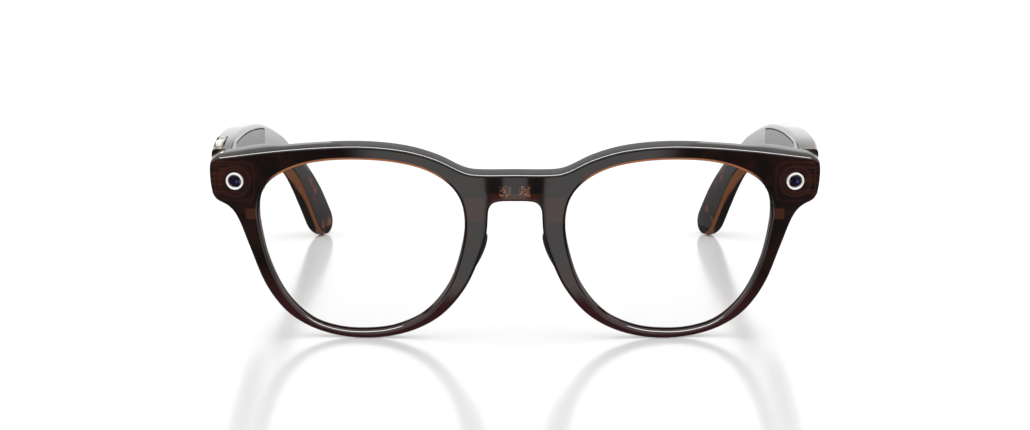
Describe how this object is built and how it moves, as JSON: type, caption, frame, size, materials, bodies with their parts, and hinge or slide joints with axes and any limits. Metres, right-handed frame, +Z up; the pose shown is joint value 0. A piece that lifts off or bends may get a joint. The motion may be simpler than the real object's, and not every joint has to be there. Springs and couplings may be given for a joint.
{
  "type": "smart glasses",
  "caption": "Smart glasses with clear lenses, a dark translucent frame, camera and light windows in the endpieces, and thick folding temples that hold the electronics.",
  "frame": {"origin": "middle of the footprint, on the floor that the rims and the temple tips stand on", "axes": "+Z up, -Y the way the wearer looks, +X to the wearer's left"},
  "size_m": [0.1486, 0.1568, 0.0487],
  "materials": {
    "shell": "polished translucent dark brown",
    "cover": "satin dark brown",
    "lens": "clear, polished",
    "silver": "bright satin, slightly warm",
    "gold": "gold-plated, polished",
    "steel": "fine brushed",
    "optic": "coated optical glass, dark violet",
    "black": "matte moulded",
    "board": "solder mask",
    "flex": "polyimide film",
    "foil": "dull foil",
    "mesh": "fine dark mesh",
    "diffuser": "smoked diffuser"
  },
  "bodies": {
    "front": {"bridge_microphone": "mesh", "brow_cover": "cover", "brow_flex": "flex", "camera_barrel": "black", "camera_bezel": "silver", "camera_sensor_board": "board", "camera_window": "optic", "charge_contact_left": "gold", "charge_contact_right": "gold", "endpiece_cover_left": "cover", "endpiece_cover_right": "cover", "front_frame": "shell", "front_leaf_screw_lower_left": "steel", "front_leaf_screw_lower_right": "steel", "front_leaf_screw_upper_left": "steel", "front_leaf_screw_upper_right": "steel", "hinge_leaf_front_left": "steel", "hinge_leaf_front_right": "steel", "hinge_screw_left": "steel", "hinge_screw_right": "steel", "led_bezel": "silver", "led_board": "board", "led_light_guide": "diffuser", "led_window": "diffuser", "lens_left": "lens", "lens_right": "lens", "nose_pad_left": "shell", "nose_pad_right": "shell"},
    "left_temple": {"temple_shell_left": "shell", "temple_cover_left": "cover", "battery_left": "foil", "antenna": "flex", "power_controller": "black", "main_board_left": "board", "microphone_left": "foil", "speaker_left": "black", "speaker_vent_left": "mesh", "hinge_leaf_temple_left": "steel", "temple_leaf_screw_aft_left": "steel", "temple_leaf_screw_fore_left": "steel", "power_switch": "steel"},
    "right_temple": {"temple_shell_right": "shell", "temple_cover_right": "cover", "battery_right": "foil", "touch_sensor": "flex", "processor": "black", "main_board_right": "board", "microphone_right": "foil", "speaker_right": "black", "speaker_vent_right": "mesh", "hinge_leaf_temple_right": "steel", "temple_leaf_screw_aft_right": "steel", "temple_leaf_screw_fore_right": "steel", "capture_switch": "steel"},
    "capture_button": {"capture_button": "silver"},
    "power_slider": {"power_slider": "cover"}
  },
  "joints": [
    {"name": "left_temple_hinge", "type": "hinge", "parent": "front", "child": "left_temple", "pos_m": [0.0662, -0.064, 0.04], "axis": [0, 0, 1], "range_deg": [0, 87]},
    {"name": "right_temple_hinge", "type": "hinge", "parent": "front", "child": "right_temple", "pos_m": [-0.0662, -0.064, 0.04], "axis": [0, 0, -1], "range_deg": [0, 66]},
    {"name": "capture_button_press", "type": "slide", "parent": "right_temple", "child": "capture_button", "axis": [0.0018, -0.0522, -0.9986], "range_m": [0, 0.00035], "stiffness_N_per_m": 1500},
    {"name": "power_slide", "type": "slide", "parent": "left_temple", "child": "power_slider", "axis": [0.0183, 0.9976, -0.0672], "range_m": [0, 0.0015]}
  ]
}
